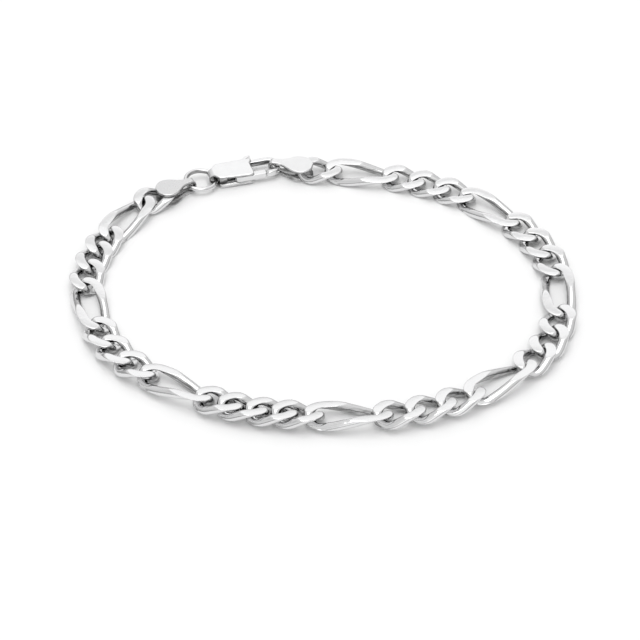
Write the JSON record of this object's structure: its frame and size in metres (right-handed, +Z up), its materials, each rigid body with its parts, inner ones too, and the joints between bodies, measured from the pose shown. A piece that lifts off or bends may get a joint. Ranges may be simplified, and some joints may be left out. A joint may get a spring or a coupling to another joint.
{
  "type": "link bracelet",
  "caption": "Closed figaro chain bracelet in polished silver with folded end tabs, a jump ring and a flat trigger clasp, lying in an oval loop.",
  "frame": {"origin": "middle of the loop's footprint, on the plane that the bracelet lies on", "axes": "+X to the picture's right, +Y away from its viewer towards the clasp, +Z up off the surface"},
  "size_m": [0.0752, 0.0627, 0.0026],
  "materials": {
    "silver": "polished silver",
    "lever_silver": "polished silver",
    "pin_steel": "polished steel"
  },
  "bodies": {
    "bracelet": {"link_01": "silver", "link_02": "silver", "link_03": "silver", "link_04": "silver", "link_05": "silver", "link_06": "silver", "link_07": "silver", "link_08": "silver", "link_09": "silver", "link_10": "silver", "link_11": "silver", "link_12": "silver", "link_13": "silver", "link_14": "silver", "link_15": "silver", "link_16": "silver", "link_17": "silver", "link_18": "silver", "link_19": "silver", "link_20": "silver", "link_21": "silver", "link_22": "silver", "link_23": "silver", "link_24": "silver", "link_25": "silver", "link_26": "silver", "link_27": "silver", "link_28": "silver", "link_29": "silver", "link_30": "silver", "end_tab_left": "silver", "end_tab_right": "silver", "jump_ring": "silver", "clasp_body": "silver", "lever_pin": "pin_steel"},
    "lever": {"clasp_lever": "lever_silver"}
  },
  "joints": [
    {"name": "lever_hinge", "type": "hinge", "parent": "bracelet", "child": "lever", "pos_m": [-0.01329, 0.02594, 0.00121], "axis": [-0.0172, -0.005, 0.9998], "range_deg": [0, 22], "stiffness_Nm_per_rad": 0.0004, "springref_deg": -11.46}
  ]
}
